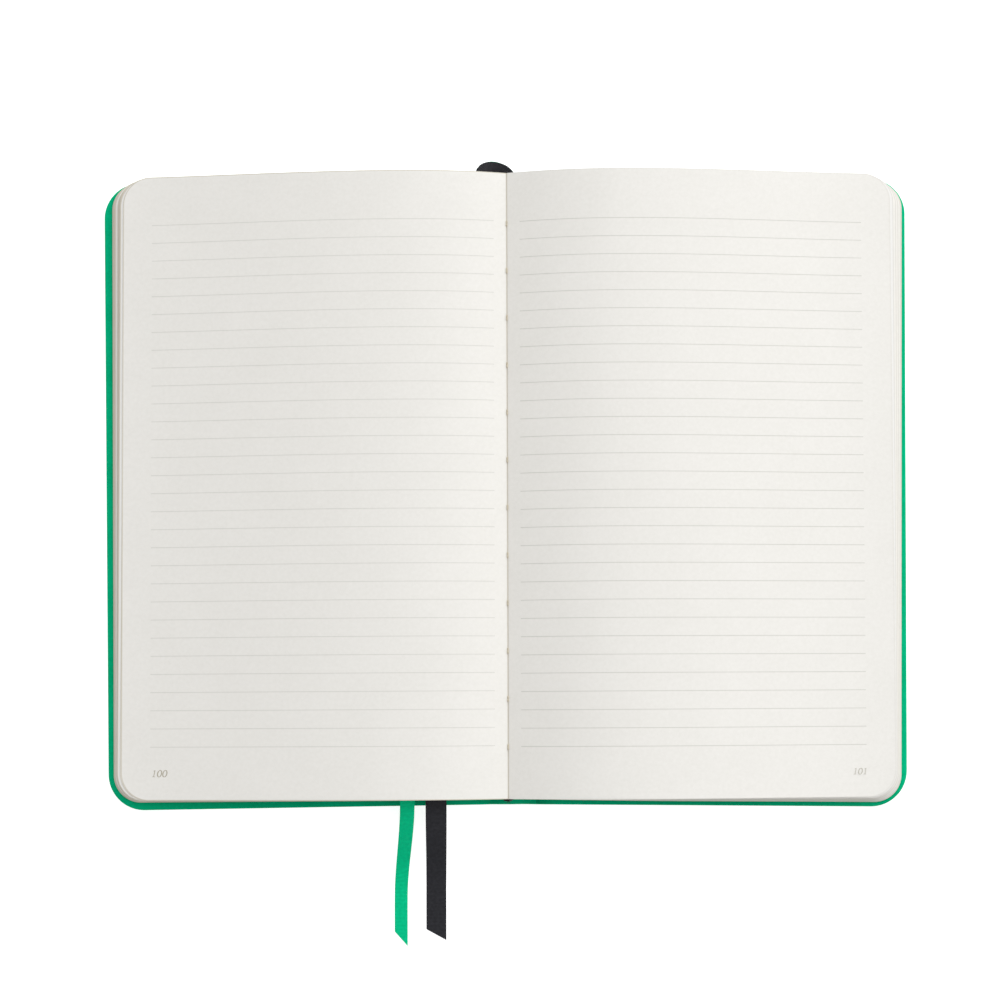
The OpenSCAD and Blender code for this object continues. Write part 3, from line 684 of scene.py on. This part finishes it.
# ---- head and tail bands ----
# Black silk wound over a cord along the folded back at head and tail: a row of fine turns on the
# bead, below it a woven tape glued inside the back, and at the tail two short black ends of silk,
# put where the hollow of the back lies in shade: painted shade given as dark thread.
# The silk is near black, with a weak soft sheen.
silk, *_ = mottled("silk_band_black", scale=3000, detail=2, deep="141416", pale="2C2C30",
                   Roughness=0.6, Specular_IOR_Level=0.1)
bead_r, bead_l, bead_bend, bead_left, turn_pitch = 0.35, 3.4, 0.25, 0.35, 0.32
shade_end_r, shade_end_in, shade_end_out, shade_end_l, shade_end_fall = 0.12, 0.2, 0.6, 0.8, 0.5
leg = np.hypot(foot_x, back_h)
run = np.linspace(-bead_l, bead_l, 181)
bend = np.sqrt(run**2 + bead_bend**2)
bead_path = np.column_stack([foot_x * run / leg, 0 * run,
                             back_z - back_h * (bend - bead_bend) / leg])
round_a = np.linspace(0, 2 * np.pi, 16, endpoint=False)
# The bead swells by a cosine with each turn of the silk, and closes at its ends.
swell = (bead_r * (0.9 + 0.1 * np.cos(run * 2 * np.pi / turn_pitch))
         * np.sqrt(np.clip(1 - (run / bead_l) ** 40, 0.02, 1)))
along = np.gradient(bead_path, axis=0)
along /= np.linalg.norm(along, axis=1, keepdims=True)
out = np.cross(along, [0, 1, 0])
bead = (bead_path[:, None] + swell[:, None, None] * (np.cos(round_a)[None, :, None] * out[:, None]
        + np.sin(round_a)[None, :, None] * np.array([0, 1, 0])))


def band_seat(end):
    """Where a band is measured from: the gutter, a bead's radius past the leaves' end."""
    y = end * (leaf_h / 2 + bead_r)
    return np.array([base_x(0, y), leaf_middle_y + y, 0])


for name, end in (("headband", 1), ("tailband", -1)):
    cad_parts[name].material_slots[0].material = silk
    put_mesh(name + "_bead", bead + band_seat(end) - [bead_left, 0, 0],
             tube_faces(len(run), len(round_a)), [silk], "book_block")
# Two short black silk ends at the tail stand in the hollow of the back where it lies in shade:
# painted shade as dark thread.
shade_end_run = np.linspace(0, 1, 9)
for lean, name in ((-1, "left_shade_silk_end"), (1, "right_shade_silk_end")):
    fallen = np.column_stack([shade_end_out * lean * shade_end_run, -shade_end_in - shade_end_l * shade_end_run,
                              back_z + shade_end_in - shade_end_fall * shade_end_run**2])
    ends = fallen[:, None] + shade_end_r * np.column_stack([np.cos(round_a), 0 * round_a,
                                                        np.sin(round_a)])
    put_mesh(name, ends + band_seat(-1), tube_faces(len(shade_end_run), len(round_a)), [silk],
             "book_block")

# ---- covering ----
# Green leatherette, a coated paper embossed with a fine pebble grain. It wraps both boards and the
# spine in one piece, is turned in over the edges and pleated round the outer corners.
# The coating is an even green with hardly any gloss, and the grain's hollows soften its sheen.
leatherette, shader = new_material("leatherette_green_embossed", Roughness=0.6,
                                   Specular_IOR_Level=0.02)
place = add(leatherette, "ShaderNodeTexCoord")
pebble = add(leatherette, "ShaderNodeTexVoronoi",
             {"Vector": place.outputs["Object"], "Scale": 1600}, feature="SMOOTH_F1")
cloud = add(leatherette, "ShaderNodeTexNoise",
            {"Vector": place.outputs["Object"], "Scale": 90, "Detail": 4})
shade = add(leatherette, "ShaderNodeMath", {0: pebble.outputs[0], 1: 0.8, 2: cloud.outputs[0]},
            operation="MULTIPLY_ADD")
tint = add(leatherette, "ShaderNodeMix",
           {0: shade.outputs[0], 6: linear("00A46F"), 7: linear("03C089")}, data_type="RGBA")
bump = add(leatherette, "ShaderNodeBump",
           {"Strength": 0.35, "Distance": 0.00012, "Height": pebble.outputs[0]})
leatherette.node_tree.links.new(tint.outputs[2], shader.inputs["Base Color"])
leatherette.node_tree.links.new(bump.outputs[0], shader.inputs["Normal"])
turn_in, edge_r, slit, strip_w, glue_t = 13.0, 0.6, 0.3, 12.0, 0.04
pleats_turn, pleat_depth, pleat_from, pleat_over = 9, 0.25, 0.5, 1.2
under_bow, lap_in, spine_n = 4, 0.06, 25
spine_half = joint_x - 2 * slit
corner = np.linspace(0, np.pi / 2, 33)
bend = np.linspace(0, np.pi / 2, 7)
flat_in = [turn_in, 9.0, 6.0, 4.0, 2.5, 1.5]
inset = np.concatenate([flat_in, edge_r * (1 - np.sin(bend)), edge_r * (1 - np.cos(bend)),
                        [flat_in[-1], turn_in]])
rim_top = inside_z + wrap_t
rim_z = np.concatenate([np.full(len(flat_in), rim_top), rim_top - edge_r * (1 - np.cos(bend)),
                        edge_r * (1 - np.sin(bend)), [0, 0]])
tail_run = np.linspace(0, 1, 13)[:-1]
fore_run = np.linspace(0, 1, 26)[1:-1]


def cover_rim():
    """Rows of points round the tail, fore-edge and head, columns from the turn-in's inner edge
    over the edge to the underside. Each corner is a quarter circle whose radius shrinks with the
    inset. Its turn-in dips in pleats by the tenth power of the cosine of nine times the angle,
    faded in from the edge by a smooth step. The last column bows out on half a sine."""
    r = np.maximum(cover_corner_r - inset, 0.5)
    reach, half_h = cover_reach - inset - r, cover_h / 2 - inset
    straight = np.zeros(len(tail_run))
    tail = np.stack([mix(joint_x, reach[None], tail_run[:, None]),
                     np.broadcast_to(-half_h, (len(tail_run), len(r)))], -1)
    low = np.stack([reach + r * np.sin(corner)[:, None],
                    -half_h + r * (1 - np.cos(corner))[:, None]], -1)
    bow = under_bow * np.sin(np.pi * fore_run)[:, None] * (np.arange(len(r)) == len(r) - 1)
    fore = np.stack([reach + r + bow, mix(-half_h + r, half_h - r, fore_run[:, None])], -1)
    flat = np.concatenate([tail, low, fore, (low * [1, -1])[::-1], (tail * [1, -1])[::-1]])
    pleats = np.concatenate([straight, corner, np.zeros(len(fore_run)), corner[::-1], straight])
    fold = (pleats > 0)[:, None] * np.abs(np.cos(pleats * pleats_turn))[:, None] ** 10
    faded = smooth_step((inset - pleat_from) / pleat_over) * (rim_z > inside_z - 0.5)
    return np.concatenate([flat, (rim_z - pleat_depth * fold * faded)[..., None]], axis=-1)


def turned(points, side):
    """Mirrored for the left cover, then turned about the middle by the cover's swing."""
    x, y, z = np.moveaxis(points, -1, 0)
    return np.stack([side * (x * np.cos(splay) + y * np.sin(splay)),
                     y * np.cos(splay) - x * np.sin(splay) + middle_y, z], axis=-1)


def spine_half_rows(side):
    """Columns along y as the turned-in ends and the flat between; rows from mid-spine out over
    the joint. The underside follows a raised cosine. The turned-in ends stand as high as the
    board at the joint and as the strip over the spine. Past the joint it laps inside the
    cover's covering by lap_in."""
    x = np.concatenate([np.linspace(0, spine_half, spine_n),
                        [joint_x - slit, joint_x, joint_x + 0.1, joint_x + 0.8]])
    t = np.minimum(x / spine_half, 1)
    arch = spine_rise * (1 + np.cos(np.pi * t)) / 2
    rise = mix(2 * wrap_t + strip_t + 2 * glue_t, rim_top,
               smooth_step((x - strip_w / 2) / (joint_x - strip_w / 2)))
    half_h = cover_h / 2
    inner = half_h - turn_in
    y = np.concatenate([[-inner, -half_h + 4], -half_h + edge_r * (1 - np.sin(bend)),
                        -half_h + edge_r * (1 - np.cos(bend)), [-inner, 0.0]])
    top = np.concatenate([[1, 1], np.ones(len(bend)), np.zeros(len(bend)), [0, 0]])
    drop = np.concatenate([[0, 0], -edge_r * (1 - np.cos(bend)), edge_r * (1 - np.sin(bend)),
                           [0, 0]])
    y = np.concatenate([y, -y[-2::-1]])
    top, drop = np.concatenate([top, top[-2::-1]]), np.concatenate([drop, drop[-2::-1]])
    z = arch[:, None] + rise[:, None] * top[None] + drop[None]
    lap = (x > joint_x)[:, None] * lap_in
    grid = np.stack(np.broadcast_arrays(x[:, None], y[None] * (1 - lap / half_h),
                                        z + lap * (1 - 2 * top)), axis=-1)
    swung = turned(grid, side)
    is_spine = x[:, None] < spine_half
    spine_x = side * t[:, None] * (spine_half + y[None] * np.tan(splay))
    spine_y = y[None] + middle_y - x[:, None] * t[:, None] * np.sin(splay)
    swung[..., 0] = np.where(is_spine, spine_x, swung[..., 0])
    swung[..., 1] = np.where(is_spine, spine_y, swung[..., 1])
    return swung


def give_wall(piece):
    """Solidify by the covering's thickness, inward from the outer surface."""
    wall = piece.modifiers.new("wall", "SOLIDIFY")
    wall.thickness, wall.offset = wrap_t / 1000, -1
    wall.use_even_offset = False


def bend_zone(piece):
    """Bakes the piece's placement into its points."""
    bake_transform(piece)


for side, name in ((-1, "front"), (1, "back")):
    rim = cover_rim()
    rows, columns = rim.shape[:2]
    half = rows // 2
    outline = np.arange(rows) * columns + columns - 1
    across = np.column_stack([outline[1:half], outline[:half - 1],
                              outline[::-1][:half - 1], outline[::-1][1:half]])
    cover = put_mesh(name + "_covering", turned(rim.reshape(-1, 3), side),
                     np.vstack([grid_faces(rows, columns), across]), [leatherette],
                     name + "_cover")
    give_wall(cover)
    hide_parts(name + "_cover_wrap")
    half_spine = spine_half_rows(side)
    spine = put_mesh(name + "_spine_covering", half_spine, grid_faces(*half_spine.shape[:2]),
                     [leatherette], None, inner=(0, 0, 6))
    give_wall(spine)
    bend_zone(spine)
    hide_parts("spine_wrap")

# ---- boards, spine strip and lining ----
# Grey board cut from pressed waste paper stiffens the covers, a strip of it the spine. An open
# cotton weave, stiff with glue, lines the folded back. They are hidden once the book is cased.
# The board is dull and flecked all through, and the weave shows as a pale check.
grey_board, shader, fleck, _ = mottled("grey_board_pressed", scale=1200, detail=5, deep="8E8779",
                                       pale="B4AD9E", Roughness=0.9, Specular_IOR_Level=0.2)
bump = add(grey_board, "ShaderNodeBump", {"Strength": 0.4, "Distance": 0.0001, "Height": fleck})
grey_board.node_tree.links.new(bump.outputs[0], shader.inputs["Normal"])
mull, shader = new_material("cotton_mull_glued", Roughness=0.85)
place = add(mull, "ShaderNodeTexCoord")
threads = add(mull, "ShaderNodeTexChecker", {"Vector": place.outputs["Object"], "Scale": 1400})
tint = add(mull, "ShaderNodeMix",
           {0: threads.outputs[1], 6: linear("CDC8BA"), 7: linear("E3DFD3")}, data_type="RGBA")
mull.node_tree.links.new(tint.outputs[2], shader.inputs["Base Color"])
for name in ("front_board", "back_board", "spine_strip"):
    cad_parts[name].material_slots[0].material = grey_board
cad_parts["spine_lining"].material_slots[0].material = mull

# ---- endpapers ----
# A stout cream sheet at each end of the block: one half pasted down inside the cover, the other
# free. The fold between them crosses the joint and bends with the cover. It is matt and creamy.
endpaper, shader, fibre, _ = mottled("endpaper_cream", scale=700, detail=4, deep="E6E2D6",
                                     pale="F1EEE5", Roughness=0.85, Specular_IOR_Level=0.25)
bump = add(endpaper, "ShaderNodeBump", {"Strength": 0.2, "Distance": 0.0001, "Height": fibre})
endpaper.node_tree.links.new(bump.outputs[0], shader.inputs["Normal"])
turn_r, paste_in, end_room = 0.75, 1.3, 0.4
turn_x, turn_z = foot_x + turn_r, foot_z - turn_r
paste_z, joint_t, joint_sag, joint_n = cover_t + 0.03, 0.12, 0.25, 25
room_x, free_x = 42, 70
# The front sheet leaves room for the ribbons out to room_x, and lies close again from free_x on.
for side, name in ((-1, "front"), (1, "back")):
    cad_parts[name + "_pastedown"].material_slots[0].material = endpaper
    x = leaf_x(side, 1)
    keep = x > turn_x + 0.3
    x = x[keep]
    closing = np.clip((x - room_x) / (free_x - room_x), 0, 1)
    room = sheet_gap if side == 1 else mix(ribbon_room, sheet_gap, closing)
    half_h = np.concatenate([[leaf_h / 2], leaf_half_h[keep]])
    z = np.concatenate([[turn_z], low_z(side, x) - room])
    x = np.concatenate([[turn_x], x])
    loops = np.stack([fanned(side, x, end * half_h, z - drop, 1) for end, drop in
                      ((-1, 0), (-1, paper_t), (1, paper_t), (1, 0))], axis=1)
    sheet = put_mesh(name + "_flyleaf_sheet", loops, tube_faces(len(loops), 4), [endpaper],
                     "book_block")
    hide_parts(name + "_flyleaf")
    t = np.concatenate([[0, 0, 0], np.linspace(0, 1, joint_n)])
    x = np.concatenate([[joint_x + 8, joint_x + 4, joint_x + 1.5],
                        np.full(joint_n, spine_half + end_room)])
    sag = joint_sag * np.sin(np.pi * t)
    half_h = leaf_h / 2 - paste_in * (1 - smooth_step(5 * t))
    edge = []
    for end, drop in ((-1, 0), (-1, joint_t), (1, joint_t), (1, 0)):
        pasted = np.column_stack([side * (x + end * half_h * np.sin(splay)),
                                  end * half_h + leaf_middle_y, np.full(len(t), paste_z - drop)])
        fold = fanned(side, turn_x, end * half_h, turn_z - drop, 1)
        edge.append(mix(pasted, fold, t[:, None]) - np.outer(sag, [0, 0, 1]))
    loops = np.stack(edge, axis=1)
    joint = put_mesh(name + "_endpaper_joint", loops, tube_faces(len(loops), 4), [endpaper],
                     None)
    bend_zone(joint)
    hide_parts(name + "_flyleaf")

# ---- table and light ----
# A plain white table top in a white room that is brighter to the right and toward the head, with
# one large soft lamp high on that side.
table_reach, table_z, table_glow = 3, -0.00004, 0.75
room_level, room_lean = 0.78, (0.34, 0.60, 0.0)
lamp_w, lamp_power, lamp_spot = 0.7, 3.0, np.array([0.75, 0.55, 0.85])


def seen_straight(owner):
    """1 for rays from the camera, a mirror or glass, and 0 for those that light the object."""
    ray = add(owner, "ShaderNodeLightPath")
    seen = add(owner, "ShaderNodeMath", {0: ray.outputs["Is Camera Ray"],
                                         1: ray.outputs["Is Glossy Ray"]}, operation="MAXIMUM")
    seen = add(owner, "ShaderNodeMath", {0: seen.outputs[0],
                                         1: ray.outputs["Is Transmission Ray"]},
               operation="MAXIMUM")
    return seen.outputs[0]


mesh = bpy.data.meshes.new("table_top")
mesh.from_pydata([(x * table_reach, y * table_reach, table_z)
                  for x, y in ((-1, -1), (1, -1), (1, 1), (-1, 1))], [], [(0, 1, 2, 3)])
table = bpy.data.objects.new("table_top", mesh)
bpy.context.scene.collection.objects.link(table)
laminate, shader = new_material("table_laminate_white", Roughness=0.9,
                                Base_Color=linear("EDEDED"), Emission_Color=(1, 1, 1, 1))
glow = add(laminate, "ShaderNodeMath", {0: seen_straight(laminate), 1: table_glow},
           operation="MULTIPLY")
laminate.node_tree.links.new(glow.outputs[0], shader.inputs["Emission Strength"])
mesh.materials.append(laminate)
world = bpy.data.worlds.new("white_room")
bpy.context.scene.world = world
world.use_nodes = True
room = world.node_tree.nodes["Background"]
place = add(world, "ShaderNodeTexCoord")
toward = add(world, "ShaderNodeVectorMath", {0: place.outputs["Generated"], 1: room_lean},
             operation="DOT_PRODUCT")
uneven = add(world, "ShaderNodeMath", {0: toward.outputs["Value"], 1: room_level},
             operation="ADD")
strength = add(world, "ShaderNodeMix", {0: seen_straight(world), 2: uneven.outputs[0], 3: 1.0})
room.inputs["Color"].default_value = (1, 1, 1, 1)
world.node_tree.links.new(strength.outputs[0], room.inputs["Strength"])
lamp = bpy.data.objects.new("window_lamp", bpy.data.lights.new("window_lamp", "AREA"))
lamp.data.shape, lamp.data.size, lamp.data.energy = "DISK", lamp_w, lamp_power
bpy.context.scene.collection.objects.link(lamp)
away = lamp_spot / np.linalg.norm(lamp_spot)
level = level_with(away)
put_at(lamp, level, np.cross(away, level), away, lamp_spot)
